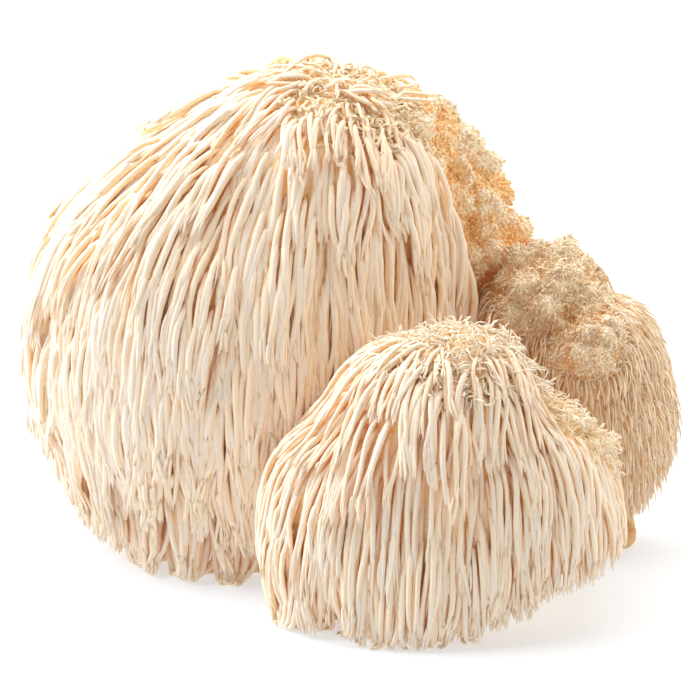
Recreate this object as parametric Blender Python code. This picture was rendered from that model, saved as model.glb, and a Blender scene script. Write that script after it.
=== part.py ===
"""Lion's mane mushroom: a cluster of three heads that grew against one another.

The large head stands behind on the left, the front head leans against its belly,
and the right head sits against its craggy flank. Each head is one closed solid: a
lumpy ball cut off flat where it rests, with the pointed locks of its hanging spines
and the knobs of its craggy flesh fused on. Metres, +Z up. The middle of the
cluster's footprint is the origin, and the surface that it rests on is Z = 0.
"""

import math
import random

import bmesh
import bpy
from mathutils import Matrix, Vector, noise

# Driving dimensions, in millimetres
MM = 0.001
SPINE_COAT = 6.0          # how far the locks stand over the flesh of a head
ROOT_DEPTH = 3.0          # how deep a lock is rooted in the flesh
LOCK_THICKNESS = 8.0
TIP_CLEARANCE = 1.0       # lowest tip of a lock over the resting surface
LOWEST_ROOT = 14.0        # lowest root of a lock over the resting surface
SHORTEST_LOCK = 16.0
CROWN_SPREAD = 0.12       # how strongly a lock leans away from the crown
ROOT_LIFT = 0.2           # height of a lock's root over the flesh, as a share of the coat
DRAPE_STEPS = 24          # short steps in which a lock's middle line slides down
NEIGHBOUR_CLEARANCE = 9.0  # least room from a lock to the flesh of the next head
KNOB_SINK = 0.3           # depth of a knob's middle under the flesh, as a share of its radius
SURFACE_WAVE = 1.2        # height of the flesh's unevenness
WAVE_LENGTH = 17.0        # and the distance over which it changes
REACH = 260.0             # longer than any ray from a head's middle to its skin
RAY_HALVINGS = 40
SLOPE_STEP = 0.5          # how far apart the flesh is measured to find which way it faces
KNOB_ROUGHNESS = 0.5      # unevenness of a knob, as a share of its radius
KNOB_GRAIN = 0.7          # the distance over which it changes, as a share of the same radius
KNOB_TRIES = 60           # places tried for a knob in each craggy place
KNOB_SCATTER = 0.95       # how far out knobs are tried, as a share of a craggy place's radius
KNOB_ROOM = 2.0           # least gap from a knob to the flesh of the next head
ORIGIN_SHIFT = Vector((-1.8, -16.7, 0.0))  # brings the footprint's middle to the origin

# Shape of one lock: how far along it, and its width there as a share of the widest
LOCK_PROFILE = ((0.0, 0.55), (0.3, 1.0), (0.62, 0.82), (0.86, 0.42))
THINNEST = 0.45           # a lock's thickness where it has no width, as a share of the full one

# How far each lock may differ from its tier
TURN_JITTER = 0.18        # share of the step from one lock to the next
TILT_JITTER = 4.0         # degrees
LENGTH_RANGE = (0.85, 1.12)
WIDTH_RANGE = (0.85, 1.1)

# A head is a smooth union of ellipsoids, each with its centre and its three radii.
# Its craggy places are balls with a centre and a radius: knobs grow there, not locks.
# A tier is a ring of locks around the crown: angle from the crown in degrees, number
# of locks, and each lock's length and width.
LARGE_HEAD = {
    "name": "large_head",
    "seed": 11,
    "blend": 12.0,
    "lumps": (
        ((-38, 42, 80), (77, 68, 76)),
        ((-14, 40, 117), (57, 51, 57)),
        ((-40, 41, 36), (65, 58, 57)),
        ((20, 48, 60), (24, 34, 52)),
        ((24, 44, 146), (15, 20, 15)),
        ((41, 46, 128), (16, 22, 18)),
        ((42, 48, 106), (19, 24, 19)),
    ),
    "segments": (28, 14),
    "crown": (0.30, -0.10, 1.0),
    "craggy": (((26, 44, 150), 17), ((46, 46, 130), 19), ((48, 48, 106), 21)),
    "knob_radius": (10.0, 13.0),
    "knob_spacing": 17.0,
    "tiers": ((5, 3, 28, 15), (26, 7, 46, 19), (50, 10, 56, 22), (76, 12, 58, 24), (106, 12, 56, 23)),
    "colour": (0.93, 0.80, 0.61),
    "roughness": 0.62,
}
FRONT_HEAD = {
    "name": "front_head",
    "seed": 23,
    "blend": 10.0,
    "lumps": (
        ((28, -38, 28), (54, 40, 40)),
        ((28, -36, 58), (38, 33, 40)),
        ((60, -36, 44), (31, 30, 32)),
        ((0, -37, 36), (30, 30, 34)),
        ((38, -40, 78), (20, 20, 22)),
        ((2, -18, 38), (20, 15, 24)),
    ),
    "segments": (22, 11),
    "crown": (0.12, 0.0, 1.0),
    "craggy": (((68, -44, 72), 15),),
    "knob_radius": (6.5, 8.5),
    "knob_spacing": 11.0,
    "tiers": ((7, 3, 20, 11), (34, 7, 36, 16), (64, 10, 44, 19), (92, 9, 40, 19)),
    "colour": (0.92, 0.78, 0.58),
    "roughness": 0.62,
}
RIGHT_HEAD = {
    "name": "right_head",
    "seed": 37,
    "blend": 8.0,
    "lumps": (
        ((84, 34, 50), (33, 32, 42)),
        ((71, 32, 92), (22, 24, 19)),
        ((82, 14, 78), (18, 16, 18)),
        ((97, 36, 43), (22, 24, 35)),
        ((92, 36, 70), (20, 24, 20)),
        ((79, 32, 8), (24, 20, 19)),
        ((59, 30, 82), (17, 18, 23)),
    ),
    "segments": (22, 11),
    "crown": (0.1, 0.1, 1.0),
    "craggy": (((68, 24, 98), 21), ((82, 8, 82), 15)),
    "knob_radius": (7.5, 10.5),
    "knob_spacing": 15.0,
    "tiers": ((10, 3, 20, 11), (48, 7, 38, 16), (84, 9, 42, 18)),
    "colour": (0.88, 0.71, 0.48),
    "roughness": 0.7,
}
HEADS = (LARGE_HEAD, FRONT_HEAD, RIGHT_HEAD)


def clear_scene():
    for item in list(bpy.data.objects):
        bpy.data.objects.remove(item, do_unlink=True)


def ellipsoid_distance(point, centre, radii):
    """About how far a point is from an ellipsoid, less than zero inside it."""
    offset = point - Vector(centre)
    scaled = Vector((offset.x / radii[0], offset.y / radii[1], offset.z / radii[2]))
    steep = Vector((scaled.x / radii[0], scaled.y / radii[1], scaled.z / radii[2]))
    if steep.length < 1e-9:
        return -min(radii)
    return scaled.length * (scaled.length - 1.0) / steep.length


def head_distance(point, head):
    """About how far a point is from the tips of a head's spines, its ellipsoids run together."""
    nearest = None
    for centre, radii in head["lumps"]:
        distance = ellipsoid_distance(point, centre, radii)
        if nearest is None:
            nearest = distance
            continue
        share = max(head["blend"] - abs(nearest - distance), 0.0) / head["blend"]
        nearest = min(nearest, distance) - share * share * head["blend"] * 0.25
    return nearest


def flesh_distance(point, head):
    """About how far a point is from the flesh under the spines."""
    return head_distance(point, head) + SPINE_COAT


def flesh_normal(point, head):
    """Which way the flesh faces nearest to a point."""
    slope = Vector()
    for axis in range(3):
        nudge = Vector()
        nudge[axis] = SLOPE_STEP
        slope[axis] = head_distance(point + nudge, head) - head_distance(point - nudge, head)
    return slope.normalized()


def middle_of(head):
    return Vector(head["lumps"][0][0])


def flesh_point(head, direction):
    """Where a ray from the middle of a head leaves its flesh."""
    middle = middle_of(head)
    near, far = 0.0, REACH
    for _ in range(RAY_HALVINGS):
        half = (near + far) / 2
        if flesh_distance(middle + direction * half, head) < 0:
            near = half
        else:
            far = half
    return middle + direction * near


def is_craggy(point, head):
    return any((point - Vector(centre)).length < radius for centre, radius in head["craggy"])


def too_near_others(point, head, room):
    return any(flesh_distance(point, other) < room for other in HEADS if other is not head)


def flesh_body(head):
    """The flesh of a head, as a ball drawn out to its lumps and cut off flat at the bottom."""
    bm = bmesh.new()
    across, down = head["segments"]
    bmesh.ops.create_uvsphere(bm, u_segments=across, v_segments=down, radius=1.0)
    for vert in bm.verts:
        direction = vert.co.normalized()
        point = flesh_point(head, direction)
        wave = noise.noise(point / WAVE_LENGTH + Vector((head["seed"], 0, 0))) * SURFACE_WAVE
        vert.co = point + direction * wave
    everything = bm.verts[:] + bm.edges[:] + bm.faces[:]
    bmesh.ops.bisect_plane(bm, geom=everything, plane_co=(0, 0, 0), plane_no=(0, 0, 1), clear_inner=True)
    bmesh.ops.holes_fill(bm, edges=[edge for edge in bm.edges if edge.is_boundary], sides=0)
    return bm


def drape(root, head, length):
    """The middle line of a lock: it slides down over the flesh, then hangs straight down."""
    line = [root - flesh_normal(root, head) * ROOT_DEPTH]
    from_crown = (root - flesh_point(head, Vector(head["crown"]).normalized())).normalized()
    point = root.copy()
    for step in range(DRAPE_STEPS):
        normal = flesh_normal(point, head)
        heading = Vector((0, 0, -1))
        into_flesh = heading.dot(normal)
        if into_flesh < 0:
            heading = heading - normal * into_flesh
        heading = heading + from_crown * CROWN_SPREAD
        point = point + heading.normalized() * (length / DRAPE_STEPS)
        along = (step + 1) / DRAPE_STEPS
        lift = SPINE_COAT * (ROOT_LIFT + (1 - ROOT_LIFT) * along) - LOCK_THICKNESS / 4
        distance = flesh_distance(point, head)
        if distance < lift:
            point = point + flesh_normal(point, head) * (lift - distance)
        if point.z < TIP_CLEARANCE:
            break
        line.append(point.copy())
    return line


def section_matrix(point, tangent, outward, width, thickness):
    """Places a unit ring across a lock, its width along the flesh and its thickness off it."""
    side = tangent.cross(outward).normalized()
    out = side.cross(tangent).normalized()
    turn = Matrix((side, out, tangent)).transposed().to_4x4()
    size = Matrix.Diagonal((width / 2, thickness / 2, 1.0, 1.0))
    return Matrix.Translation(point) @ turn @ size


def lock_shape(head, line, width):
    """One pointed lock: a flattened four-sided ring drawn along its middle line to a tip."""
    bm = bmesh.new()
    matrices = []
    last = len(line) - 1
    for fraction, share in LOCK_PROFILE:
        place = fraction * last
        index = min(int(place), last - 1)
        point = line[index].lerp(line[index + 1], place - index)
        tangent = (line[index + 1] - line[index]).normalized()
        outward = flesh_normal(point, head)
        thickness = LOCK_THICKNESS * (THINNEST + (1 - THINNEST) * share)
        matrices.append(section_matrix(point, tangent, outward, width * share, thickness))
    ring = bmesh.ops.create_circle(bm, cap_ends=True, segments=4, radius=1.0, matrix=matrices[0])["verts"]
    root_cap = ring[0].link_faces[0]
    ring, face = draw_out(bm, root_cap, root_cap)
    for before, after in zip(matrices, matrices[1:]):
        bmesh.ops.transform(bm, matrix=after @ before.inverted(), verts=ring)
        ring, face = draw_out(bm, face, root_cap)
    bmesh.ops.pointmerge(bm, verts=ring, merge_co=line[-1])
    return bm


def draw_out(bm, face, root_cap):
    """Extrudes the open end of a lock, and returns the new end's ring and face."""
    grown = bmesh.ops.extrude_face_region(bm, geom=[face])["geom"]
    if face is not root_cap:
        bmesh.ops.delete(bm, geom=[face], context="FACES_ONLY")
    ring = [part for part in grown if isinstance(part, bmesh.types.BMVert)]
    end = [part for part in grown if isinstance(part, bmesh.types.BMFace)][0]
    return ring, end


def around(axis, angle, turn):
    """A unit direction at an angle from an axis, turned about it."""
    axis = Vector(axis).normalized()
    side = axis.orthogonal().normalized()
    tilted = Matrix.Rotation(angle, 3, side) @ axis
    return Matrix.Rotation(turn, 3, axis) @ tilted


def lock_shapes(head):
    """Rings of locks around the crown, each ring set between the locks of the one above."""
    rng = random.Random(head["seed"])
    shapes = []
    for tier, (angle, count, length, width) in enumerate(head["tiers"]):
        for index in range(count):
            stagger = 0.5 * (tier % 2) + rng.uniform(-TURN_JITTER, TURN_JITTER)
            turn = math.tau * (index + stagger) / count
            tilt = math.radians(angle + rng.uniform(-TILT_JITTER, TILT_JITTER))
            long = length * rng.uniform(*LENGTH_RANGE)
            wide = width * rng.uniform(*WIDTH_RANGE)
            root = flesh_point(head, around(head["crown"], tilt, turn))
            if is_craggy(root, head) or root.z < LOWEST_ROOT:
                continue
            line = drape(root, head, long)
            if (line[-1] - line[0]).length < SHORTEST_LOCK or is_craggy(line[len(line) // 2], head):
                continue
            if any(too_near_others(point, head, NEIGHBOUR_CLEARANCE) for point in line[::3]):
                continue
            shapes.append(lock_shape(head, line, wide))
    return shapes


def knob_shapes(head):
    """Knobs of craggy flesh, spaced over the craggy places of a head."""
    rng = random.Random(head["seed"] + 100)
    placed, shapes = [], []
    for centre, radius in head["craggy"]:
        for _ in range(KNOB_TRIES):
            scatter = Vector((rng.gauss(0, 1), rng.gauss(0, 1), rng.gauss(0, 1))).normalized()
            spot = Vector(centre) + scatter * radius * KNOB_SCATTER
            toward = (spot - middle_of(head)).normalized()
            point = flesh_point(head, toward)
            size = rng.uniform(*head["knob_radius"])
            if not is_craggy(point, head) or too_near_others(point, head, size + KNOB_ROOM):
                continue
            if any((point - other).length < head["knob_spacing"] for other in placed):
                continue
            placed.append(point)
            shapes.append(knob_shape(point - toward * size * KNOB_SINK, size, rng))
    return shapes


def knob_shape(point, size, rng):
    """One knob: a small ball with an uneven skin."""
    bm = bmesh.new()
    verts = bmesh.ops.create_icosphere(bm, subdivisions=2, radius=size)["verts"]
    pattern = Vector((rng.uniform(0, 50), rng.uniform(0, 50), rng.uniform(0, 50)))
    for vert in verts:
        swell = 1.0 + KNOB_ROUGHNESS * noise.noise(vert.co / (size * KNOB_GRAIN) + pattern)
        vert.co = vert.co * swell
    bmesh.ops.translate(bm, vec=point, verts=verts)
    return bm


def object_from(bm, name):
    """Turns a shape drawn in millimetres into an object in metres, about the origin."""
    bmesh.ops.recalc_face_normals(bm, faces=bm.faces)
    bmesh.ops.translate(bm, vec=ORIGIN_SHIFT, verts=bm.verts)
    bmesh.ops.scale(bm, vec=(MM, MM, MM), verts=bm.verts)
    mesh = bpy.data.meshes.new(name)
    bm.to_mesh(mesh)
    bm.free()
    item = bpy.data.objects.new(name, mesh)
    bpy.context.collection.objects.link(item)
    return item


def keep_outer_skin(bm):
    """Keeps the largest connected shell, and so drops pockets shut in between locks."""
    left = set(bm.faces)
    shells = []
    while left:
        shell, edge_of_shell = set(), [left.pop()]
        while edge_of_shell:
            face = edge_of_shell.pop()
            shell.add(face)
            for edge in face.edges:
                for other in edge.link_faces:
                    if other in left:
                        left.discard(other)
                        edge_of_shell.append(other)
        shells.append(shell)
    outer = max(shells, key=len)
    for shell in shells:
        if shell is not outer:
            bmesh.ops.delete(bm, geom=list(shell), context="FACES")


def fuse(body, growth):
    """Joins one lock or knob to the flesh, and leaves one closed skin on the body."""
    union = body.modifiers.new("fused growth", "BOOLEAN")
    union.operation = "UNION"
    union.solver = "MANIFOLD"
    union.object = growth
    evaluated = body.evaluated_get(bpy.context.evaluated_depsgraph_get())
    bm = bmesh.new()
    bm.from_mesh(evaluated.to_mesh())
    evaluated.to_mesh_clear()
    body.modifiers.clear()
    keep_outer_skin(bm)
    bm.to_mesh(body.data)
    bm.free()
    bpy.data.objects.remove(growth, do_unlink=True)


def flesh_material(head):
    material = bpy.data.materials.new(head["name"] + "_flesh")
    material.use_nodes = True
    shader = material.node_tree.nodes["Principled BSDF"]
    shader.inputs["Base Color"].default_value = (*head["colour"], 1.0)
    shader.inputs["Roughness"].default_value = head["roughness"]
    shader.inputs["Metallic"].default_value = 0.0
    return material


def make_head(head):
    body = object_from(flesh_body(head), head["name"])
    for shape in knob_shapes(head) + lock_shapes(head):
        fuse(body, object_from(shape, head["name"] + "_growth"))
    body.data.materials.append(flesh_material(head))
    return body


def main():
    clear_scene()
    for head in HEADS:
        make_head(head)


main()
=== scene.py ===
"""Looks of the lion's mane mushroom: flesh, hanging spines, curls and stubble.

Lengths are in millimetres in the mushroom's own layout until a mesh is made, which
moves it to the frame and turns it into metres.
"""

import math

import bmesh
import bpy
import numpy as np
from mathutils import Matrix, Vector, noise
from mathutils.kdtree import KDTree


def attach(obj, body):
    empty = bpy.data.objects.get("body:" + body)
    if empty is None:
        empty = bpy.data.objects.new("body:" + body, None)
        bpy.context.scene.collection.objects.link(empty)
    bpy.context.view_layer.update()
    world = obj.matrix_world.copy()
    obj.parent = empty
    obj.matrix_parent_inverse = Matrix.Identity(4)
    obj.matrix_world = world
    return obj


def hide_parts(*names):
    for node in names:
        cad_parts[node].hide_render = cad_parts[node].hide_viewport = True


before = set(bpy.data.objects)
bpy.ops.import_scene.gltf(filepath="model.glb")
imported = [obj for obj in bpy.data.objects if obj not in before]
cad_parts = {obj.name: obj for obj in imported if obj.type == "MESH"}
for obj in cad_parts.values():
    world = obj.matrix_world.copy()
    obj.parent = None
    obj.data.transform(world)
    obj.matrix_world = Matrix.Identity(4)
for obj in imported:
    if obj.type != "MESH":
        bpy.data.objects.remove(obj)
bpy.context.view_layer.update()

MM = 0.001
LAYOUT_SHIFT = np.array((-1.8, -16.7, 0.0))   # brings the footprint's middle to the origin
DOWN = np.array((0.0, 0.0, -1.0))
LEVEL = np.array((1.0, 1.0, 0.0))

# Flesh
SLOPE_STEP = 0.5           # how far to each side a slope is read
REACH = 260.0              # further than any flesh lies from the middle of its head
RAY_HALVINGS = 36
CRAG_EDGE = 5.0            # how softly craggy flesh turns into spiny flesh
CRAG_DEPTH = 2.2           # craggy flesh lies this far under the tips of its stubble
CRAG_LUMP = 12.0           # widths of the lumps, knots and grains of craggy flesh
CRAG_KNOT = 5.0
CRAG_GRAIN = 1.9
LUMP_HEIGHT = 5.6          # and how far they stand out
KNOT_HEIGHT = 2.8
GRAIN_HEIGHT = 1.0
CRAG_BEND = 2.0            # how far the pattern of the crags is bent, in waves of this size
CRAG_BEND_SIZE = 4.0
UNDERCUT = 7.0             # how much further the flesh draws back at the floor, behind the hanging tips
UNDERCUT_HEIGHT = 20.0

# Roots
SETTLE_ROUNDS = 6          # steps in which scattered points move onto the flesh
SETTLED = 0.3              # and how near to it they count as there
STRAND_GAP = 2.0           # how far strands keep from the flesh of the next head at their roots
FAR_SPACING = 0.8          # how much further apart the roots are far from the crown
TIER_WAVER = 0.9           # how far the rings of crowded roots stray, in waves of this size
TIER_WAVER_SIZE = 26.0

# Hanging spines
ROOT_DEPTH = 2.0
DRAPE_STEPS = 26
ARCH_AWAY = 0.7            # a strand leaves the flesh leaning away from the crown this much,
ARCH_DOWN = 0.3            # and down this much
OVERHANG = -0.1            # flesh that faces lower than this hangs over
HEM_DROP = 0.6             # how far past the hem a strand reaches, for each millimetre of its hem
FLOOR_GAP = 0.5
FLARE_HEIGHT = 7.0         # spines that hang lower than this turn outwards along the surface
FLARE = 0.6                # and how strongly they do
NEIGHBOUR_GAP = 1.0
CROWN_TANGLE = 11.0        # how far from the crown the spines still point every way
LOOSEST = 12.0             # a strand ends where it hangs further out of its bounds than this
SHORTEST = 5.0
LOCK_KNOTS = 24            # points along the middle line of a strand in a lock
FORKS = 2                  # that each strand parts into
# painted shade: a spine this deep under the tips is painted amber all round, for the shade deep in the coat
PAINTED_SHADE_DEPTH = 9.0                 # a spine this deep under the tips is amber all round
ROUNDNESS = 0.9            # how thick a spine is outwards, as a share of its width
MOST_TRIANGLES = 190000    # in one piece

# How strands hang: how stiffly they keep their heading, how far they spread away from the
# crown, how far they sway, how wide a lock is, and how closely its strands draw together
LARGE_UPPER_HABIT = {"stiff": 0.8, "spread": 0.4, "sway": 0.9, "lock": 8.0, "grip": 0.6}
LARGE_LOWER_HABIT = {"stiff": 0.78, "spread": 0.25, "sway": 1.2, "lock": 12.0, "grip": 0.75}
FRONT_HABIT = {"stiff": 0.78, "spread": 0.4, "sway": 0.7, "lock": 6.5, "grip": 0.6}

# Ribs of the flesh under the strands, like those of an inner layer of them
RIB_WIDTH = 1.5
RIB_LENGTH = 16.0
RIB_HEIGHT = 1.5

FOOT_KNOBS = (((93, 30, 6), (8, 7, 9)), ((89, 29, 13), (8, 8, 9)), ((96, 28, 3), (6, 6, 5)))

# Each head: its lumps are ellipsoids through the tips of its spines, given by centre and
# radii. Craggy balls are bare of long spines, pits are dents in them that are also painted
# amber as painted shade, the coat is how far the flesh lies under the tips high up and low
# down, and the hem is where it starts to rise off the floor and how steeply.
LARGE = {
    "name": "large_head",
    "seed": 11,
    "blend": 12.0,
    "lumps": (
        ((-38, 42, 80), (77, 68, 70)),
        ((-14, 40, 117), (57, 51, 57)),
        ((-37, 41, 38), (59, 57, 57)),
        ((-47, 42, 115), (38, 42, 37)),
        ((20, 48, 60), (24, 34, 52)),
        ((25, 44, 145), (17, 20, 16)),
        ((41, 46, 125), (16, 22, 18)),
        ((43, 48, 106), (20, 24, 19)),
        ((42, 50, 88), (14, 20, 17)),
        ((59, 54, 97), (11, 11, 12)),
    ),
    "crown": (6.0, 22.0, 172.0),
    "craggy": (((26, 44, 150), 17), ((46, 46, 130), 19), ((48, 48, 106), 21), ((60, 52, 99), 14),
               ((31, 26, 156), 11), ((45, 20, 138), 14), ((51, 19, 123), 15), ((54, 19, 108), 15)),
    "pits": (((38, 24, 137), 8.0, 5.0), ((55, 45, 126), 8.0, 0.5)),
    "coat": (4.5, 7.5),
    "coat_heights": (70.0, 20.0),
    "hem": (-78.0, -0.7),
}
FRONT = {
    "name": "front_head",
    "seed": 23,
    "blend": 10.0,
    "lumps": (
        ((29, -37, 28), (52, 38, 40)),
        ((28, -36, 58), (38, 33, 40)),
        ((60, -36, 44), (31, 30, 32)),
        ((0, -37, 36), (30, 30, 34)),
        ((38, -40, 78), (20, 20, 22)),
        ((2, -18, 38), (20, 15, 24)),
    ),
    "crown": (38.0, -36.0, 98.0),
    "craggy": (((52, -30, 88), 10), ((60, -33, 81), 12), ((68, -36, 73), 13), ((77, -37, 65), 11),
               ((85, -36, 57), 8)),
    "pits": (),
    "coat": (4.0, 6.5),
    "coat_heights": (50.0, 12.0),
    "hem": (34.0, 0.4),
}
RIGHT = {
    "name": "right_head",
    "seed": 37,
    "blend": 8.0,
    "lumps": (
        ((83, 34, 50), (32, 32, 42)),
        ((71, 32, 92), (21, 24, 19)),
        ((82, 14, 78), (18, 16, 18)),
        ((96, 36, 43), (21, 24, 34)),
        ((91, 36, 72), (20, 24, 20)),
        ((79, 32, 8), (24, 20, 19)),
        ((59, 30, 82), (17, 18, 23)),
    ),
    "crown": (78.0, 30.0, 112.0),
    "craggy": (((68, 24, 98), 21), ((82, 8, 82), 15)),
    "pits": (),
    "coat": (4.0, 6.0),
    "coat_heights": (50.0, 20.0),
    "hem": (85.0, 0.5),
}
HEADS = (LARGE, FRONT, RIGHT)


# Forms of the heads

def unit(vectors):
    return vectors / np.maximum(np.linalg.norm(vectors, axis=-1, keepdims=True), 1e-9)


def smooth_step(low, high, values):
    share = np.clip((values - low) / (high - low), 0.0, 1.0)
    return share * share * (3.0 - 2.0 * share)


def ellipsoid_distances(points, centre, radii):
    offset = points - np.array(centre, float)
    scaled = offset / np.array(radii, float)
    length = np.linalg.norm(scaled, axis=-1)
    steep = np.linalg.norm(scaled / np.array(radii, float), axis=-1)
    return length * (length - 1.0) / np.maximum(steep, 1e-9)


def tip_distances(points, head):
    """About how far points are from the tips of a head's spines, less than zero inside."""
    nearest = None
    for centre, radii in head["lumps"]:
        distance = ellipsoid_distances(points, centre, radii)
        if nearest is None:
            nearest = distance
            continue
        share = np.maximum(head["blend"] - np.abs(nearest - distance), 0.0) / head["blend"]
        nearest = np.minimum(nearest, distance) - share * share * head["blend"] * 0.25
    return nearest


def craggy_shares(points, head):
    """1 where a head's flesh is craggy, 0 where it is spiny."""
    most = np.zeros(points.shape[:-1])
    for centre, radius in head["craggy"]:
        away = np.linalg.norm(points - np.array(centre, float), axis=-1)
        most = np.maximum(most, 1.0 - smooth_step(radius - CRAG_EDGE, radius + CRAG_EDGE, away))
    return most


def coat_depths(points, head):
    """How far the flesh lies under the tips: little on top, more low down, least on crags."""
    top, bottom = head["coat"]
    high, low = head["coat_heights"]
    sunk = 1.0 - smooth_step(low, high, points[..., 2])
    depth = top + (bottom - top) * sunk
    depth = depth + UNDERCUT * (1.0 - smooth_step(0.0, UNDERCUT_HEIGHT, points[..., 2]))
    craggy = craggy_shares(points, head)
    return depth + (CRAG_DEPTH - depth) * craggy


def flesh_distances(points, head):
    return tip_distances(points, head) + coat_depths(points, head)


def outward(points, head, distances=flesh_distances):
    """Which way the flesh faces nearest to each point."""
    slope = np.zeros_like(points)
    for axis in range(3):
        nudge = np.zeros(3)
        nudge[axis] = SLOPE_STEP
        slope[..., axis] = distances(points + nudge, head) - distances(points - nudge, head)
    return unit(slope)


def crag_relief(points, head):
    """How far craggy flesh stands out at points in lumps and grains, and how hollow it is there, which sets
    its painted shade.
    """
    rise, hollow_shade = np.zeros(len(points)), np.zeros(len(points))
    craggy = craggy_shares(points, head)
    pattern = Vector((head["seed"], 0, 0))
    for i in np.nonzero(craggy > 0.01)[0]:
        place = Vector(points[i])
        wave = place / CRAG_BEND_SIZE
        bend = Vector((noise.noise(wave), noise.noise(wave + pattern), 0.0)) * CRAG_BEND
        lumps = noise.voronoi((place + bend) / CRAG_LUMP + pattern)[0][0]
        knots = noise.voronoi((place + bend) / CRAG_KNOT + pattern)[0][0]
        grains = noise.voronoi((place + bend * 0.3) / CRAG_GRAIN + pattern)[0][0]
        rise[i] = (LUMP_HEIGHT * (0.65 - 1.7 * lumps) + KNOT_HEIGHT * (0.5 - 1.1 * knots)
                   + GRAIN_HEIGHT * (0.5 - 1.1 * grains))
        hollow_shade[i] = (lumps - 0.42) * 1.6 + (knots - 0.45) * 0.9 + (grains - 0.4) * 0.5
    rise = rise * craggy
    # painted shade: pits are dented and painted as hollows; the shallow one is almost all painted shade
    for centre, radius, depth in head["pits"]:
        share = 1.0 - smooth_step(0.0, radius, np.linalg.norm(points - np.array(centre, float), axis=1))
        rise = rise - depth * share
        hollow_shade = hollow_shade + share
    return rise, np.clip(hollow_shade, 0.0, 1.0)


def strand_ribs(points, head):
    """Relief of spiny flesh: ribs that run down from the crown, from 0 in their valleys to 1."""
    away = points - np.array(head["crown"], float)
    level = np.maximum(np.linalg.norm(away[:, :2], axis=1), 1e-6)
    width = max(radius for _, radii in head["lumps"] for radius in radii)
    round_axis = away[:, :2] / level[:, None] * width / RIB_WIDTH
    down = (away[:, 2] - level) / RIB_LENGTH
    ribs = [noise.noise(Vector((x, y, z))) for x, y, z in zip(round_axis[:, 0], round_axis[:, 1], down)]
    return np.clip(0.5 + np.array(ribs) * 1.1, 0.0, 1.0)


def flesh_along(head, directions, middle):
    """Where rays from a head's middle leave its flesh."""
    near = np.zeros(len(directions))
    far = np.full(len(directions), REACH)
    for _ in range(RAY_HALVINGS):
        half = (near + far) / 2
        inside = flesh_distances(middle + directions * half[:, None], head) < 0
        near = np.where(inside, half, near)
        far = np.where(inside, far, half)
    return middle + directions * near[:, None]


# Roots of the spines

def hem_heights(points, head):
    """How high over the floor the spines end: the hem rises towards one side of a head."""
    start, slope = head["hem"]
    return np.maximum(slope * (points[..., 0] - start), 0.0)


def scattered(head, rng, density, zone=None):
    """Points spread over a head's flesh, about so many to each square millimetre."""
    found = []
    for centre, radii in head["lumps"]:
        area = (radii[0] * radii[1] + radii[1] * radii[2] + radii[0] * radii[2]) * 4 * math.pi / 3
        part = unit(rng.normal(size=(int(area * density), 3)))
        points = np.array(centre, float) + part * np.array(radii, float)
        points = points[tip_distances(points, head) > -head["blend"]]
        if zone is not None:
            points = points[zone(points)]
        for _ in range(SETTLE_ROUNDS):
            points = points - outward(points, head) * flesh_distances(points, head)[:, None]
        found.append(points[np.abs(flesh_distances(points, head)) < SETTLED])
    return np.concatenate(found)


def picked(points, spacing, rng):
    """Which points are left when none is nearer to another one than its spacing."""
    tree = KDTree(len(points))
    for index, point in enumerate(points):
        tree.insert(point, index)
    tree.balance()
    crowded = np.zeros(len(points), bool)
    kept = []
    for index in rng.permutation(len(points)):
        if crowded[index]:
            continue
        kept.append(index)
        for _, other, _ in tree.find_range(points[index], spacing[index]):
            crowded[other] = True
    return np.array(sorted(kept), int)


def thinned(points, spacing, rng):
    return points[picked(points, spacing, rng)]


def lock_leaders(points, width, rng):
    """For each root, which root leads the lock that its strand hangs in."""
    leaders = picked(points, np.full(len(points), width), rng)
    tree = KDTree(len(leaders))
    for place, index in enumerate(leaders):
        tree.insert(points[index], place)
    tree.balance()
    return leaders[np.array([tree.find(point)[1] for point in points], int)]


def from_crown(points, head):
    return np.linalg.norm(points - np.array(head["crown"]), axis=1)


def tier_shares(points, head, band, pattern):
    """1 in the rings around the crown where the roots crowd, 0 halfway between them."""
    shift = Vector((pattern, 0, 0))
    waver = np.array([noise.noise(Vector(point / TIER_WAVER_SIZE) + shift) for point in points])
    return 0.5 + 0.5 * np.cos((from_crown(points, head) / band + waver * TIER_WAVER) * math.tau)


def clear_of_others(points, head, gap):
    clear = np.ones(points.shape[:-1], bool)
    for other in HEADS:
        if other is not head:
            clear &= flesh_distances(points, other) > gap
    return clear


def near_crown(head, reach):
    """A test of which points are within reach of a head's crown."""
    return lambda points: from_crown(points, head) < reach


def crag_roots(head, rng, density, spacing):
    """Roots spread over craggy flesh, where it isn't against the next head, and how hollow it is there, which
    sets their painted shade.
    """
    points = scattered(head, rng, density, lambda around: craggy_shares(around, head) > 0.1)
    points = points[(craggy_shares(points, head) > 0.15) & clear_of_others(points, head, 0.5)]
    rise, hollow_shade = crag_relief(points, head)
    points = points + outward(points, head) * rise[:, None]
    kept = picked(points, np.full(len(points), spacing), rng)
    return points[kept], hollow_shade[kept]


# Middle lines of the spines

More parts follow.
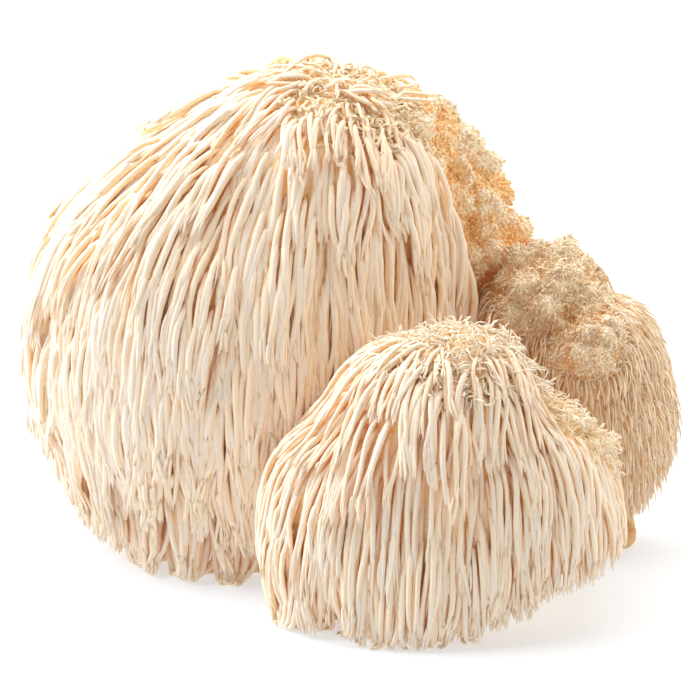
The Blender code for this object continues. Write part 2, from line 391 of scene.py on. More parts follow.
def drape(head, rng, roots, habit, lengths, rise, fray, hem, tuck):
    """Lines that leave the flesh, arch over and hang down. Returns them with how much is used.

    rise is how steeply they leave it. fray is how far they may hang outside the tips on the
    upper side of a head, and hem how far on the lower side and how far past the hem. tuck is
    how quickly they are drawn back under an overhang.
    """
    stiff, spread = habit["stiff"], habit["spread"]
    out = outward(roots, head)
    away = roots - np.array(head["crown"], float) + rng.normal(0, CROWN_TANGLE, roots.shape)
    away = unit(away - out * (away * out).sum(axis=1, keepdims=True))
    heading = unit(out * rise[:, None] + away * ARCH_AWAY + DOWN * ARCH_DOWN)
    point = roots.copy()
    lines = [roots - out * ROOT_DEPTH, roots]
    growing = np.ones(len(roots), bool)
    used = np.ones(len(roots))
    for step in range(DRAPE_STEPS):
        along = (step + 1) / DRAPE_STEPS
        out = outward(point, head)
        facing_up = np.clip(out[:, 2:3], 0.0, 1.0)
        pull = DOWN + away * spread * (0.15 + facing_up)
        near_floor = 1.0 - smooth_step(0.0, FLARE_HEIGHT, point[:, 2:3])
        level = unit(out * LEVEL + away * LEVEL * 0.3)
        pull = pull + (level * FLARE - DOWN * FLARE) * near_floor
        into = np.minimum((pull * out).sum(axis=1, keepdims=True), 0.0)
        pull = unit(pull - out * into)
        heading = unit(heading * stiff + pull * (1.0 - stiff))
        moved = point + heading * (lengths / DRAPE_STEPS)[:, None]
        depth = coat_depths(moved, head)
        lift = depth * (0.15 + 0.8 * along ** 0.8)
        low = np.maximum(lift - flesh_distances(moved, head), 0.0)
        moved = moved + out * low[:, None]
        hanging = 1.0 - smooth_step(-0.35, 0.1, out[:, 2])
        over = tip_distances(moved, head) - fray * (1.0 - hanging) - hem * hanging
        pressed = (out[:, 2] > OVERHANG) & (over > 0)
        moved = np.where(pressed[:, None], moved - out * over[:, None], moved)
        tucked = (out[:, 2] <= OVERHANG) & (over > 0)
        moved = np.where(tucked[:, None], moved - out * (over * tuck)[:, None], moved)
        on_floor = moved[:, 2] < FLOOR_GAP
        moved[:, 2] = np.maximum(moved[:, 2], FLOOR_GAP)
        point = np.where(growing[:, None], moved, point)
        above = moved[:, 2] > hem_heights(moved, head) - hem * HEM_DROP
        growing = growing & above & (over < LOOSEST) & clear_of_others(moved, head, NEIGHBOUR_GAP)
        lengths = np.where(on_floor, lengths * 0.9, lengths)
        used = np.where(growing, step + 2.0, used)
        lines.append(point.copy())
    return np.stack(lines, axis=1), used


def along_lines(lines, used, shares):
    """Points of the lines at shares of the length that is used."""
    place = shares * used[:, None]
    index = np.clip(place.astype(int), 0, lines.shape[1] - 2)
    rows = np.arange(len(lines))[:, None]
    part = (place - index)[..., None]
    return lines[rows, index] * (1.0 - part) + lines[rows, index + 1] * part


def eased(lines, times):
    """Takes the kinks out of lines, with their ends kept."""
    for _ in range(times):
        inner = lines[:, :-2] * 0.25 + lines[:, 1:-1] * 0.5 + lines[:, 2:] * 0.25
        lines = np.concatenate((lines[:, :1], inner, lines[:, -1:]), axis=1)
    return lines


def line_frames(lines, out):
    """Across and outward vectors carried along each line without twisting."""
    tangents = unit(np.gradient(lines, axis=1))
    across = np.zeros_like(lines)
    side = unit(np.cross(tangents[:, 0], out))
    for k in range(lines.shape[1]):
        side = unit(side - tangents[:, k] * (side * tangents[:, k]).sum(axis=1, keepdims=True))
        across[:, k] = side
    return across, np.cross(across, tangents)


# Meshes of the spines

def spine_object(name, head, lines, widths, flatness, out, sides, tones, profile):
    """One mesh of many closed spines that taper from root to tip along their lines."""
    count, knots = lines.shape[:2]
    across, outs = line_frames(lines, out)
    along = np.linspace(0.0, 1.0, knots)
    size = np.interp(along, *zip(*profile))
    half = widths[:, None] * size[None, :] / 2
    turns = math.pi / 2 + np.arange(sides) * math.tau / sides
    reach = half[:, 1:-1, None, None]
    rings = lines[:, 1:-1, None] + (
        across[:, 1:-1, None] * (np.cos(turns)[None, None, :, None] * reach)
        + outs[:, 1:-1, None] * (np.sin(turns)[None, None, :, None] * reach * flatness[:, None, None, None])
    )
    ring_count = knots - 2
    per_spine = ring_count * sides + 2
    verts = np.concatenate((lines[:, :1], rings.reshape(count, -1, 3), lines[:, -1:]), axis=1)
    bases = (np.arange(count) * per_spine)[:, None, None]

    ring = 1 + np.arange(ring_count)[:, None] * sides
    here = np.arange(sides)[None, :]
    after = (here + 1) % sides
    quads = np.stack((ring[:-1] + here, ring[1:] + here, ring[1:] + after, ring[:-1] + after), axis=-1)
    quads = quads.reshape(-1, 4)
    here, after = here[0], after[0]
    root_fan = np.stack((np.zeros(sides, int), 1 + here, 1 + after), axis=-1)
    last = 1 + (ring_count - 1) * sides
    tip_fan = np.stack((last + after, last + here, np.full(sides, per_spine - 1)), axis=-1)
    fans = np.concatenate((root_fan, tip_fan))
    all_quads = (bases + quads[None]).reshape(-1)
    all_fans = (bases + fans[None]).reshape(-1)

    mesh = bpy.data.meshes.new(name)
    corners = verts.reshape(-1, 3) + LAYOUT_SHIFT
    mesh.vertices.add(len(corners))
    mesh.vertices.foreach_set("co", (corners * MM).astype(np.float32).ravel())
    mesh.loops.add(len(all_quads) + len(all_fans))
    mesh.loops.foreach_set("vertex_index", np.concatenate((all_quads, all_fans)).astype(np.int32))
    quad_total, fan_total = len(all_quads) // 4, len(all_fans) // 3
    mesh.polygons.add(quad_total + fan_total)
    starts = np.concatenate((np.arange(quad_total) * 4, quad_total * 4 + np.arange(fan_total) * 3))
    mesh.polygons.foreach_set("loop_start", starts.astype(np.int32))
    mesh.update(calc_edges=True)
    mesh.polygons.foreach_set("use_smooth", np.ones(quad_total + fan_total, bool))

    shares = np.concatenate(([0.0], np.repeat(along[1:-1], sides), [1.0]))
    add_values(mesh, "along", np.tile(shares, count))
    add_values(mesh, "tone", np.repeat(tones, per_spine))
    # painted shade: how deep each point lies under the tips, which the material paints amber
    sunk = np.clip(-tip_distances(verts.reshape(-1, 3), head) / PAINTED_SHADE_DEPTH, 0.0, 1.0)
    add_values(mesh, "sunk", sunk)
    # painted shade: 0 on the outer crest of each spine, 1 on its inner side, which the material paints amber
    inward = np.concatenate(([0.5], np.tile(0.5 - 0.5 * np.sin(turns), ring_count), [0.3]))
    add_values(mesh, "inward", np.tile(inward, count))
    add_bake_map(mesh, count, sides, ring_count, along)
    item = bpy.data.objects.new(name, mesh)
    bpy.context.collection.objects.link(item)
    return item


def add_values(mesh, name, values):
    layer = mesh.attributes.new(name, "FLOAT", "POINT")
    layer.data.foreach_set("value", values.astype(np.float32))


def add_bake_map(mesh, count, sides, ring_count, along):
    """A strip for each spine in a square grid of strips."""
    rows = int(math.ceil(math.sqrt(count)))
    cell = 1.0 / rows
    margin = 0.08
    cell_x = (np.arange(count) % rows)[:, None, None] * cell
    cell_y = (np.arange(count) // rows)[:, None, None] * cell
    left = np.arange(sides) / sides
    right = (np.arange(sides) + 1) / sides
    low, high = along[1:-2], along[2:-1]
    quad_u = np.stack((left, left, right, right), axis=-1)[None].repeat(ring_count - 1, axis=0)
    quad_v = np.stack((low, high, high, low), axis=-1)[:, None].repeat(sides, axis=1)
    middle = (left + right) / 2
    root_u = np.stack((middle, left, right), axis=-1)
    root_v = np.tile((0.0, along[1], along[1]), (sides, 1))
    tip_u = np.stack((right, left, middle), axis=-1)
    tip_v = np.tile((along[-2], along[-2], 1.0), (sides, 1))

    def placed(u, v):
        u, v = u.reshape(-1), v.reshape(-1)
        pair = np.stack((margin + u * (1 - 2 * margin), margin + v * (1 - 2 * margin)), axis=-1) * cell
        whole = np.broadcast_to(pair[None], (count, len(pair), 2)).copy()
        whole[..., 0] += cell_x[..., 0]
        whole[..., 1] += cell_y[..., 0]
        return whole.reshape(-1, 2)

    quads = placed(quad_u, quad_v)
    fans = placed(np.concatenate((root_u, tip_u)), np.concatenate((root_v, tip_v)))
    layer = mesh.uv_layers.new(name="OFBake")
    layer.data.foreach_set("uv", np.concatenate((quads, fans)).astype(np.float32).ravel())


# Growths of each kind. A profile gives the thickness of a spine from its root to its tip.

STRAND_PROFILE = ((0.0, 0.6), (0.12, 0.9), (0.45, 1.0), (0.75, 0.9), (0.9, 0.62), (1.0, 0.25))
FORK_PROFILE = ((0.0, 0.3), (0.25, 0.9), (0.5, 1.0), (0.8, 0.75), (1.0, 0.4))
SPINE_PROFILE = ((0.0, 0.7), (0.1, 0.95), (0.3, 1.0), (0.6, 0.85), (0.82, 0.55), (1.0, 0.18))
CURL_PROFILE = ((0.0, 0.8), (0.4, 1.0), (0.8, 0.85), (1.0, 0.55))
STUB_PROFILE = ((0.0, 0.9), (0.4, 1.0), (0.8, 0.95), (1.0, 0.75))


def hang(head, rng, roots, habit, lengths, rise, fray, hem, tuck):
    """Draped middle lines of strands that close into locks, read by share of length.

    The strands of a lock are about as long as the one that leads it, and they draw nearer
    to it towards their tips. Strands that end up too short are left out.
    """
    sway, lock, grip = habit["sway"], habit["lock"], habit["grip"]
    leaders = lock_leaders(roots, lock, rng)
    lengths = lengths[leaders] * rng.uniform(0.86, 1.1, len(roots))
    fray = fray[leaders] + rng.uniform(-1.0, 1.0, len(roots))
    hem = hem[leaders] + rng.uniform(-1.0, 1.0, len(roots))
    lines, used = drape(head, rng, roots, habit, lengths, rise, fray, hem, tuck[leaders])
    length = np.linalg.norm(np.diff(lines, axis=1), axis=2)
    reached = np.cumsum(np.concatenate((np.zeros((len(lines), 1)), length), axis=1), axis=1)
    total = reached[np.arange(len(lines)), used.astype(int)]
    midway = lines[np.arange(len(lines)), (used * 0.5).astype(int)]
    keep = (total > SHORTEST) & (craggy_shares(midway, head) < 0.5)
    leaders = np.where(keep[leaders], leaders, np.arange(len(roots)))
    shares = np.linspace(0.0, 1.0, LOCK_KNOTS)
    path = along_lines(lines, used, np.tile(shares, (len(roots), 1)))
    gather = path[leaders] - path
    far = np.linalg.norm(gather, axis=2, keepdims=True)
    gather = gather * np.minimum(1.0, lock / np.maximum(far, 1e-6))
    path = path + gather * (grip * smooth_step(0.2, 1.0, shares))[None, :, None]
    path, out = eased(path[keep], 3), outward(roots[keep], head)
    across, outs = line_frames(path, out)
    whole = np.full(len(path), LOCK_KNOTS - 1.0)
    phase = rng.uniform(0, math.tau, size=(len(path), 2))
    turns = total[keep, None] / rng.uniform(24.0, 44.0, (len(path), 1))

    def strands_at(shares):
        middle = along_lines(path, whole, shares)
        sideways, forwards = along_lines(across, whole, shares), along_lines(outs, whole, shares)
        swing = sway * np.minimum(shares * 1.5, 1.0)
        aside = np.sin(shares * math.tau * turns + phase[:, :1]) * swing
        proud = np.sin(shares * math.tau * turns * 0.8 + phase[:, 1:]) * swing * 0.5
        return middle + sideways * aside[..., None] + forwards * proud[..., None], sideways, forwards

    return strands_at, total[keep], out


def settled(path):
    path[..., 2] = np.maximum(path[..., 2], FLOOR_GAP)
    return eased(path, 1)


def strands(head, label, rng, hung, widths, split, material, fork_material):
    """Thick strands, and the finer forks that their lower ends part into, split apart so far."""
    strands_at, total, out = hung
    count = len(total)
    tones = rng.uniform(size=count)
    shares = np.linspace(0.0, 1.0, 9) ** 0.85 * rng.uniform(0.84, 0.94, (count, 1))
    path, _, _ = strands_at(shares)
    in_parts(head, label, settled(path), out, tones, widths, 5, STRAND_PROFILE, material,
             flatness=rng.uniform(0.75, 1.0, count))
    lines, outs, fork_tones, fork_widths = [], [], [], []
    for fork in range(FORKS):
        first = rng.uniform(0.55, 0.78, (count, 1))
        last = rng.uniform(0.86, 1.0, (count, 1)) if fork else np.ones((count, 1))
        shares = first + (last - first) * np.linspace(0.0, 1.0, 5)[None]
        path, sideways, forwards = strands_at(shares)
        place = fork - (FORKS - 1) / 2 + rng.normal(0, 0.2, (count, 1))
        aside = place * widths[:, None] * 0.36
        parting = smooth_step(0.72, 1.0, shares) * np.minimum(total / 30.0, 1.0)[:, None]
        aside = aside + (place * 0.8 + rng.normal(0, 0.5, (count, 1))) * split * parting
        aside = aside + np.sin(shares * 16.0 + rng.uniform(0, math.tau, (count, 1))) * 0.35 * parting
        proud = widths[:, None] * rng.uniform(0.1, 0.3, (count, 1))
        proud = proud + rng.uniform(-0.3, 0.9, (count, 1)) * split * parting
        path = path + sideways * aside[..., None] + forwards * proud[..., None]
        lines.append(settled(path))
        outs.append(out)
        fork_tones.append(np.clip(tones + rng.normal(0, 0.1, count), 0, 1))
        fork_widths.append(widths * rng.uniform(0.5, 0.72, count))
    lines, outs = np.concatenate(lines), np.concatenate(outs)
    in_parts(head, label + "_forks", lines, outs, np.concatenate(fork_tones), np.concatenate(fork_widths),
             4, FORK_PROFILE, fork_material)


def curls(head, rng, roots, lengths, knots, wander, droop, lean):
    """Short curly spines: each step wanders from the one before, droops, and they lean apart."""
    out = outward(roots, head)
    heading = unit(out + rng.normal(0, lean, out.shape))
    points = [roots - out * 1.0]
    point = roots.copy()
    turn = unit(rng.normal(size=out.shape)) * wander
    step = lengths / (knots - 2)
    points.append(point.copy())
    for _ in range(knots - 2):
        turn = unit(turn + rng.normal(0, 0.5, turn.shape)) * wander
        heading = unit(heading + np.cross(turn, heading) + DOWN * droop)
        inward = np.minimum((heading * out).sum(axis=1, keepdims=True), 0.0)
        heading = unit(heading - out * inward * 1.2)
        point = point + heading * step[:, None]
        points.append(point.copy())
    return np.stack(points, axis=1), out


# Materials

def nodes_of(name):
    material = bpy.data.materials.new(name)
    material.use_nodes = True
    tree = material.node_tree
    return material, tree, tree.nodes["Principled BSDF"]


def attribute(tree, name):
    node = tree.nodes.new("ShaderNodeAttribute")
    node.attribute_name = name
    return node.outputs["Fac"]


def ramp(tree, value, stops):
    node = tree.nodes.new("ShaderNodeValToRGB")
    elements = node.color_ramp.elements
    while len(elements) < len(stops):
        elements.new(0.5)
    for element, (place, colour) in zip(elements, stops):
        element.position = place
        element.color = (*colour, 1.0)
    tree.links.new(value, node.inputs["Fac"])
    return node.outputs["Color"]


def mixed(tree, share, first, second, blend="MIX"):
    node = tree.nodes.new("ShaderNodeMix")
    node.data_type = "RGBA"
    node.blend_type = blend
    for socket, value in (("Factor", share), ("A", first), ("B", second)):
        target = [s for s in node.inputs if s.name == socket and s.enabled][0]
        if isinstance(value, bpy.types.NodeSocket):
            tree.links.new(value, target)
        elif isinstance(value, tuple):
            target.default_value = (*value, 1.0)
        else:
            target.default_value = value
    return [s for s in node.outputs if s.enabled][0]


def stretched_noise(tree, scale, stretch, detail=3.0):
    where = tree.nodes.new("ShaderNodeTexCoord")
    mapping = tree.nodes.new("ShaderNodeMapping")
    mapping.inputs["Scale"].default_value = (1.0, 1.0, stretch)
    pattern = tree.nodes.new("ShaderNodeTexNoise")
    pattern.inputs["Scale"].default_value = scale
    pattern.inputs["Detail"].default_value = detail
    tree.links.new(where.outputs["Object"], mapping.inputs["Vector"])
    tree.links.new(mapping.outputs["Vector"], pattern.inputs["Vector"])
    return pattern.outputs["Fac"]


def bumped(tree, shader, height, distance, strength):
    bump = tree.nodes.new("ShaderNodeBump")
    bump.inputs["Distance"].default_value = distance
    bump.inputs["Strength"].default_value = strength
    tree.links.new(height, bump.inputs["Height"])
    tree.links.new(bump.outputs["Normal"], shader.inputs["Normal"])


def soft_flesh(shader, roughness):
    shader.inputs["Roughness"].default_value = roughness
    shader.inputs["Specular IOR Level"].default_value = 0.15


def spine_material(name, pale, cream, amber, tip, side_shade):
    material, tree, shader = nodes_of(name)
    soft_flesh(shader, 0.5)
    tones = ramp(tree, attribute(tree, "tone"), ((0.0, cream), (0.7, pale)))
    # painted shade: the deeper under the tips, the more amber a spine is painted
    sunk = ramp(tree, attribute(tree, "sunk"), ((0.4, (0, 0, 0)), (1.0, (0.85, 0.85, 0.85))))
    colour = mixed(tree, sunk, tones, amber)
    # painted shade: the inner sides of each spine are painted amber, as strongly as the side share of each
    # colour set says
    inward = ramp(tree, attribute(tree, "inward"), ((0.08, (0, 0, 0)), (0.65, (side_shade, side_shade, side_shade))))
    colour = mixed(tree, inward, colour, amber)
    tips = ramp(tree, attribute(tree, "along"), ((0.86, (0, 0, 0)), (1.0, (0.8, 0.8, 0.8))))
    colour = mixed(tree, tips, colour, tip)
    streaks = stretched_noise(tree, 900.0, 0.12)
    streak_tint = ramp(tree, streaks, ((0.35, (0.98, 0.95, 0.90)), (0.65, (1.0, 1.0, 1.0))))
    colour = mixed(tree, 1.0, colour, streak_tint, "MULTIPLY")
    tree.links.new(colour, shader.inputs["Base Color"])
    bumped(tree, shader, streaks, 0.0002, 0.25)
    return material


def bare_material(name, pale, dark):
    material, tree, shader = nodes_of(name)
    soft_flesh(shader, 0.55)
    mottle = stretched_noise(tree, 180.0, 1.0, 5.0)
    tree.links.new(ramp(tree, mottle, ((0.35, dark), (0.6, pale))), shader.inputs["Base Color"])
    bumped(tree, shader, mottle, 0.0005, 0.5)
    return material


def flesh_material(name, flesh, amber):
    material, tree, shader = nodes_of(name)
    soft_flesh(shader, 0.6)
    craggy = attribute(tree, "craggy")
    hollow_shade = attribute(tree, "hollow_shade")
    mottle = stretched_noise(tree, 260.0, 1.0, 6.0)
    ground = ramp(tree, mottle, ((0.2, amber), (0.5, flesh)))
    # painted shade: the valleys between the ribs are painted amber
    ribs = ramp(tree, attribute(tree, "ribs"), ((0.3, amber), (0.8, flesh)))
    # painted shade: the hollows of the crags are painted amber
    colour = mixed(tree, hollow_shade, ground, amber)
    colour = mixed(tree, craggy, ribs, colour)
    tree.links.new(colour, shader.inputs["Base Color"])
    bumped(tree, shader, mottle, 0.0008, 0.8)
    return material


# Making of the pieces

def flesh_piece(head, subdivisions, cuts, material):
    """The flesh under the spines: a ball drawn out to its lumps and cut flat at the bottom."""
    name = head["name"] + "_flesh"
    bm = bmesh.new()
    bmesh.ops.create_icosphere(bm, subdivisions=subdivisions, radius=1.0)
    middle = np.array(head["lumps"][0][0], float)
    points = flesh_along(head, unit(np.array([vert.co for vert in bm.verts])), middle)
    craggy = craggy_shares(points, head)
    fine = [edge for edge in bm.edges if max(craggy[vert.index] for vert in edge.verts) > 0.05]
    bmesh.ops.subdivide_edges(bm, edges=fine, cuts=cuts, use_grid_fill=True)
    points = flesh_along(head, unit(np.array([vert.co for vert in bm.verts])), middle)
    craggy = craggy_shares(points, head)
    rise, hollow_shade = crag_relief(points, head)
    ribs = strand_ribs(points, head)
    rise = rise + (ribs - 0.6) * RIB_HEIGHT * (1.0 - craggy)
    points = points + outward(points, head) * rise[:, None]
    # painted shade: the material paints the crag hollows and the rib valleys amber from these values
    for name_of, values in (("craggy", craggy), ("hollow_shade", hollow_shade), ("ribs", ribs)):
        layer = bm.verts.layers.float.new(name_of)
        for vert, value in zip(bm.verts, values):
            vert[layer] = float(value)
    for vert, point in zip(bm.verts, points):
        vert.co = Vector(point)
    everything = bm.verts[:] + bm.edges[:] + bm.faces[:]
    bmesh.ops.bisect_plane(bm, geom=everything, plane_co=(0, 0, 0), plane_no=(0, 0, 1), clear_inner=True)
    bmesh.ops.holes_fill(bm, edges=[edge for edge in bm.edges if edge.is_boundary], sides=0)
    piece_from(bm, name, head, material)


def piece_from(bm, name, head, material):
    """Turns layout millimetres into a finished piece of the scene."""
    bmesh.ops.translate(bm, vec=Vector(LAYOUT_SHIFT), verts=bm.verts)
    bmesh.ops.scale(bm, vec=(MM, MM, MM), verts=bm.verts)
    bmesh.ops.recalc_face_normals(bm, faces=bm.faces)
    for face in bm.faces:
        face.smooth = True
    mesh = bpy.data.meshes.new(name)
    bm.to_mesh(mesh)
    bm.free()
    print(f"{name}: {sum(len(face.vertices) - 2 for face in mesh.polygons)} triangles")
    item = bpy.data.objects.new(name, mesh)
    bpy.context.collection.objects.link(item)
    finish_piece(item, head, material)


def knob_piece(label, head, places, material):
    """Smooth knobs of bare flesh, each a ball bent by soft noise."""
    bm = bmesh.new()
    for centre, radii in places:
        made = bmesh.ops.create_icosphere(bm, subdivisions=4, radius=1.0)
        for vert in made["verts"]:
            swell = 1.0 + 0.22 * noise.noise(vert.co * 1.7 + Vector(centre))
            vert.co = Vector(centre) + Vector(r * c for r, c in zip(radii, vert.co * swell))
            vert.co.z = max(vert.co.z, 0.0)
    piece_from(bm, f"{head['name']}_{label}", head, material)


def finish_piece(item, head, material):
    item.data.materials.append(material)
    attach(item, "root")
    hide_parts(head["name"])


def in_parts(head, label, lines, out, tones, widths, sides, profile, material, flatness=None):
    """Makes as many pieces as the spines need, each under the limit on triangles."""
    if flatness is None:
        flatness = np.full(len(lines), ROUNDNESS)
    each = 2 * sides * (lines.shape[1] - 2)
    parts = int(math.ceil(len(lines) * each / MOST_TRIANGLES))
    for part in range(parts):
        pick = slice(part, None, parts)
        name = f"{head['name']}_{label}" + (f"_{part + 1}" if parts > 1 else "")
        item = spine_object(name, head, lines[pick], widths[pick], flatness[pick], out[pick], sides,
                            tones[pick], profile)
        finish_piece(item, head, material)
    print(f"{head['name']} {label}: {len(lines)} spines, {len(lines) * each} triangles")


# Colours: spines vary between pale and cream, are painted amber at their sides and deep down as painted
# shade, and end in tip

# Flesh amber is both its random mottle and the painted shade of its crag hollows and rib valleys
CREAM_FLESH = {"flesh": (0.98, 0.85, 0.65), "amber": (0.985, 0.74, 0.38)}
TAN_FLESH = {"flesh": (0.99, 0.86, 0.65), "amber": (0.99, 0.72, 0.36)}
FOOT_COLOURS = {"pale": (0.82, 0.55, 0.28), "dark": (0.58, 0.32, 0.13)}
STRAND_COLOURS = {"pale": (0.965, 0.865, 0.765), "cream": (0.98, 0.84, 0.68),
                  "amber": (0.99, 0.75, 0.40), "tip": (0.98, 0.80, 0.55), "side_shade": 0.8}
FORK_COLOURS = {"pale": (0.98, 0.88, 0.775), "cream": (0.985, 0.86, 0.71),
                "amber": (0.99, 0.77, 0.43), "tip": (0.985, 0.82, 0.58), "side_shade": 0.5}
LARGE_CURL_COLOURS = {"pale": (0.99, 0.92, 0.80), "cream": (0.985, 0.87, 0.68),
                      "amber": (0.98, 0.75, 0.42), "tip": (0.98, 0.86, 0.64), "side_shade": 0.4}
LARGE_FUZZ_COLOURS = {"pale": (0.99, 0.91, 0.77), "cream": (0.97, 0.66, 0.32),
                      "amber": (0.97, 0.70, 0.38), "tip": (0.99, 0.90, 0.76), "side_shade": 0.35}
FRONT_CURL_COLOURS = {"pale": (0.99, 0.93, 0.83), "cream": (0.985, 0.84, 0.61),
                      "amber": (0.98, 0.78, 0.48), "tip": (0.98, 0.88, 0.68), "side_shade": 0.3}
HAIR_COLOURS = {"pale": (0.99, 0.89, 0.75), "cream": (0.99, 0.81, 0.60),
                "amber": (0.99, 0.75, 0.46), "tip": (0.99, 0.88, 0.74), "side_shade": 0.3}
TUFT_COLOURS = {"pale": (0.99, 0.91, 0.79), "cream": (0.99, 0.77, 0.50),
                "amber": (0.98, 0.72, 0.40), "tip": (0.99, 0.90, 0.76), "side_shade": 0.35}


# Pieces of each head

def spiny_points(head, rng, density, lowest, craggiest, crown_gap):
    """Where long strands can grow: clear of the next heads, the floor, crags and the crown."""
    points = scattered(head, rng, density)
    points = points[clear_of_others(points, head, STRAND_GAP) & (points[:, 2] > lowest)]
    return points[(craggy_shares(points, head) < craggiest) & (from_crown(points, head) > crown_gap)]


def curtain_roots(points, head, rng, closest, fading, crowding, band, pattern):
    """Roots of a curtain: closest near the crown, and closer in rings around it."""
    tiers = smooth_step(0.2, 0.8, tier_shares(points, head, band, pattern))
    far = smooth_step(*fading, from_crown(points, head))
    return thinned(points, (closest + FAR_SPACING * far) * (1.0 + crowding - crowding * tiers), rng)


def large_curtains(head, rng):
    spines = spine_material("large_head_spines", **STRAND_COLOURS)
    forks = spine_material("large_head_forks", **FORK_COLOURS)
    spiny = spiny_points(head, rng, density=0.5, lowest=8.0, craggiest=0.35, crown_gap=7.0)

    upper = spiny[spiny[:, 2] > 62.0]
    roots = curtain_roots(upper, head, rng, closest=2.2, fading=(15.0, 60.0), crowding=0.15,
                          band=26.0, pattern=3.0)
    count = len(roots)
    grown = smooth_step(8.0, 60.0, from_crown(roots, head))
    hung = hang(head, rng, roots, LARGE_UPPER_HABIT,
                lengths=(18.0 + 34.0 * grown) * rng.uniform(0.65, 1.2, count),
                rise=rng.uniform(1.0, 1.8, count),
                fray=rng.uniform(-4.5, 1.5, count),
                hem=rng.uniform(-2.0, 4.0, count),
                tuck=rng.uniform(0.04, 0.3, count))
    total = hung[1]
    widths = 1.3 + 1.1 * smooth_step(12.0, 36.0, total) + rng.uniform(-0.25, 0.45, len(total))
    strands(head, "curtain", rng, hung, widths, 1.1, spines, forks)

    lower = spiny[spiny[:, 2] <= 92.0]
    roots = thinned(lower, np.full(len(lower), 3.6), rng)
    count = len(roots)
    hung = hang(head, rng, roots, LARGE_LOWER_HABIT,
                lengths=rng.uniform(30.0, 58.0, count),
                rise=rng.uniform(0.4, 1.1, count),
                fray=rng.uniform(-5.5, -1.0, count),
                hem=rng.uniform(-3.0, 6.0, count),
                tuck=rng.uniform(0.0, 0.1, count))
    strands(head, "lower_curtain", rng, hung, rng.uniform(2.0, 3.1, len(hung[1])), 1.2, spines, forks)


def large_head_pieces():
    head = LARGE
    rng = np.random.default_rng(head["seed"])
    flesh_piece(head, 7, 2, flesh_material("large_head_flesh", **CREAM_FLESH))
    large_curtains(head, rng)

    points = scattered(head, rng, 2.5, near_crown(head, 34.0))
    fading = smooth_step(10.0, 34.0, from_crown(points, head))
    points = points[(craggy_shares(points, head) < 0.6) & (rng.uniform(size=len(fading)) > fading)]
    roots = thinned(points, np.full(len(points), 1.5), rng)
    lines, out = curls(head, rng, roots, rng.uniform(4.0, 8.0, len(roots)),
                       knots=8, wander=0.55, droop=0.3, lean=0.5)
    in_parts(head, "crown_curls", lines, out, rng.uniform(size=len(lines)), rng.uniform(1.0, 1.5, len(lines)),
             3, CURL_PROFILE, spine_material("large_head_curls", **LARGE_CURL_COLOURS))

    roots, hollow_shade = crag_roots(head, rng, density=5.0, spacing=1.15)
    lines, out = curls(head, rng, roots, rng.uniform(0.8, 2.0, len(roots)),
                       knots=5, wander=0.9, droop=0.03, lean=0.5)
    # painted shade: fuzz in the hollows of the crags takes the darker cream, on top of a random tone
    tones = np.clip(1.0 - hollow_shade * 2.2 + rng.normal(0, 0.1, len(roots)), 0.0, 1.0)
    in_parts(head, "crag_fuzz", lines, out, tones, rng.uniform(1.0, 1.5, len(lines)),
             4, STUB_PROFILE, spine_material("large_head_fuzz", **LARGE_FUZZ_COLOURS))


def front_curtain(head, rng):
    """Strands in two tiers: most locks that start high end over the roots of the lower ones."""
    spines = spine_material("front_head_spines", **STRAND_COLOURS)
    forks = spine_material("front_head_forks", **FORK_COLOURS)
    spiny = spiny_points(head, rng, density=0.8, lowest=5.0, craggiest=0.4, crown_gap=13.0)
    roots = curtain_roots(spiny, head, rng, closest=1.9, fading=(10.0, 45.0), crowding=0.2,
                          band=27.0, pattern=7.0)
    count = len(roots)
    grown = smooth_step(5.0, 45.0, from_crown(roots, head))
    lengths = (15.0 + 38.0 * grown) * rng.uniform(0.7, 1.15, count)
    high = (roots[:, 2] > 66.0) & (roots[:, 0] < 50.0) & (rng.uniform(size=count) < 0.75)
    fray = rng.uniform(-4.5, 0.5, count) + 2.5 * high
    hem = np.where(high, rng.uniform(-95.0, -65.0, count), rng.uniform(-3.0, 3.0, count))
    hung = hang(head, rng, roots, FRONT_HABIT, lengths, rise=rng.uniform(1.0, 1.8, count),
                fray=fray, hem=hem, tuck=rng.uniform(0.05, 0.3, count))
    total = hung[1]
    widths = 0.95 + 0.9 * smooth_step(10.0, 34.0, total) + rng.uniform(-0.2, 0.4, len(total))
    strands(head, "curtain", rng, hung, widths, 0.8, spines, forks)


def front_head_pieces():
    head = FRONT
    rng = np.random.default_rng(head["seed"])
    flesh_piece(head, 6, 3, flesh_material("front_head_flesh", **CREAM_FLESH))
    front_curtain(head, rng)

    points = scattered(head, rng, 3.0, near_crown(head, 31.0))
    roots = thinned(points, np.full(len(points), 1.15), rng)
    banded, hollow_shade = crag_roots(head, rng, density=3.0, spacing=1.15)
    # random tones on the crown; painted shade: curls in the hollows of the band take the darker cream
    tones = np.concatenate((rng.uniform(0.4, 1.0, len(roots)), np.clip(1.0 - hollow_shade * 1.6, 0.0, 1.0)))
    lengths = np.concatenate((rng.uniform(4.0, 9.0, len(roots)), rng.uniform(2.5, 5.0, len(banded))))
    roots = np.concatenate((roots, banded))
    lines, out = curls(head, rng, roots, lengths, knots=8, wander=0.5, droop=0.24, lean=0.5)
    in_parts(head, "crown_curls", lines, out, tones, rng.uniform(0.65, 1.0, len(lines)),
             3, CURL_PROFILE, spine_material("front_head_curls", **FRONT_CURL_COLOURS))


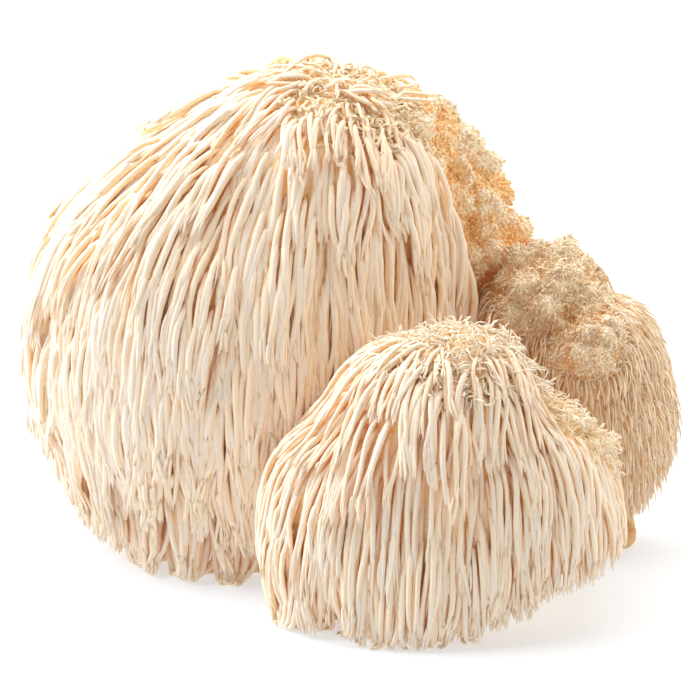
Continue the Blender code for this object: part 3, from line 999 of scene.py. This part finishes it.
def right_head_pieces():
    head = RIGHT
    rng = np.random.default_rng(head["seed"])
    flesh_piece(head, 6, 3, flesh_material("right_head_flesh", **TAN_FLESH))
    knob_piece("foot", head, FOOT_KNOBS, bare_material("right_head_foot", **FOOT_COLOURS))

    points = scattered(head, rng, 2.0)
    points = points[clear_of_others(points, head, 1.0) & (points[:, 2] > 15.0)]
    hairy = points[craggy_shares(points, head) < 0.6]
    roots = thinned(hairy, np.full(len(hairy), 1.5), rng)
    lines, out = curls(head, rng, roots, rng.uniform(5.0, 11.0, len(roots)),
                       knots=7, wander=0.35, droop=1.0, lean=0.3)
    in_parts(head, "hair", lines, out, rng.uniform(size=len(lines)), rng.uniform(0.8, 1.2, len(lines)),
             3, SPINE_PROFILE, spine_material("right_head_hair", **HAIR_COLOURS))

    roots, hollow_shade = crag_roots(head, rng, density=7.0, spacing=0.85)
    lines, out = curls(head, rng, roots, rng.uniform(1.5, 3.4, len(roots)),
                       knots=5, wander=0.7, droop=0.3, lean=0.4)
    # painted shade: tufts in the hollows of the crags take the darker cream, on top of a random tone
    tones = np.clip(1.0 - hollow_shade * 1.3 + rng.normal(0, 0.1, len(roots)), 0.0, 1.0)
    in_parts(head, "tufts", lines, out, tones, rng.uniform(0.7, 1.0, len(lines)),
             3, CURL_PROFILE, spine_material("right_head_fuzz", **TUFT_COLOURS))


# Camera, floor and light, in metres

CAMERA_TARGET = (-0.0018, -0.0167, 0.080)
CAMERA_AWAY = 1.0
CAMERA_TILT = 16.0         # degrees that the camera looks down
CAMERA_LENS = 151.3
FLOOR_HALF_WIDTH = 6.0
FLOOR_DROP = 0.0002
FLOOR_COLOUR = (0.44, 0.465, 0.50, 1.0)
FLOOR_GLOW_COLOUR = (0.98, 1.0, 1.02, 1.0)
FLOOR_GLOW = 0.53
SKY_COLOUR = (1.0, 0.92, 0.82, 1.0)
SKY_STRENGTH = 0.33
LIGHT_BOUNCES = 32         # keeps the gaps between strands golden
LIGHT_TARGET = (0.0, 0.0, 0.07)
LIGHTS = (                 # name, place, size, watts, colour
    ("key", (-1.4, 0.5, 1.0), 1.9, 58.0, (0.965, 0.98, 1.0)),
    ("overhead", (-0.1, 0.6, 1.7), 2.2, 40.0, (1.0, 0.985, 0.96)),
    ("right", (1.5, 0.3, 0.9), 1.8, 18.0, (1.0, 0.90, 0.76)),
)


def aimed(item, place, target):
    item.location = place
    item.rotation_euler = (Vector(target) - Vector(place)).to_track_quat("-Z", "Y").to_euler()
    bpy.context.collection.objects.link(item)


def add_camera():
    target = Vector(CAMERA_TARGET)
    tilt = math.radians(CAMERA_TILT)
    camera = bpy.data.cameras.new("camera")
    camera.sensor_width = 36.0
    camera.lens = CAMERA_LENS
    item = bpy.data.objects.new("camera", camera)
    aimed(item, target + Vector((0.0, -math.cos(tilt), math.sin(tilt))) * CAMERA_AWAY, target)
    bpy.context.scene.camera = item


def add_floor():
    bm = bmesh.new()
    bmesh.ops.create_grid(bm, x_segments=1, y_segments=1, size=FLOOR_HALF_WIDTH)
    bmesh.ops.translate(bm, vec=(0, 0, -FLOOR_DROP), verts=bm.verts)
    mesh = bpy.data.meshes.new("floor")
    bm.to_mesh(mesh)
    bm.free()
    floor = bpy.data.objects.new("floor", mesh)
    bpy.context.collection.objects.link(floor)
    material, _, shader = nodes_of("pale_floor")
    shader.inputs["Base Color"].default_value = FLOOR_COLOUR
    shader.inputs["Roughness"].default_value = 0.8
    shader.inputs["Specular IOR Level"].default_value = 0.1
    shader.inputs["Emission Color"].default_value = FLOOR_GLOW_COLOUR
    shader.inputs["Emission Strength"].default_value = FLOOR_GLOW
    floor.data.materials.append(material)


def add_light():
    world = bpy.data.worlds.new("soft white")
    world.use_nodes = True
    background = world.node_tree.nodes["Background"]
    background.inputs["Color"].default_value = SKY_COLOUR
    background.inputs["Strength"].default_value = SKY_STRENGTH
    scene = bpy.context.scene
    scene.world = world
    scene.view_settings.view_transform = "Standard"
    scene.cycles.max_bounces = LIGHT_BOUNCES
    scene.cycles.diffuse_bounces = LIGHT_BOUNCES
    for name, place, size, watts, colour in LIGHTS:
        light = bpy.data.lights.new(name, "AREA")
        light.size = size
        light.energy = watts
        light.color = colour
        aimed(bpy.data.objects.new(name, light), place, LIGHT_TARGET)


large_head_pieces()
front_head_pieces()
right_head_pieces()
add_camera()
add_floor()
add_light()
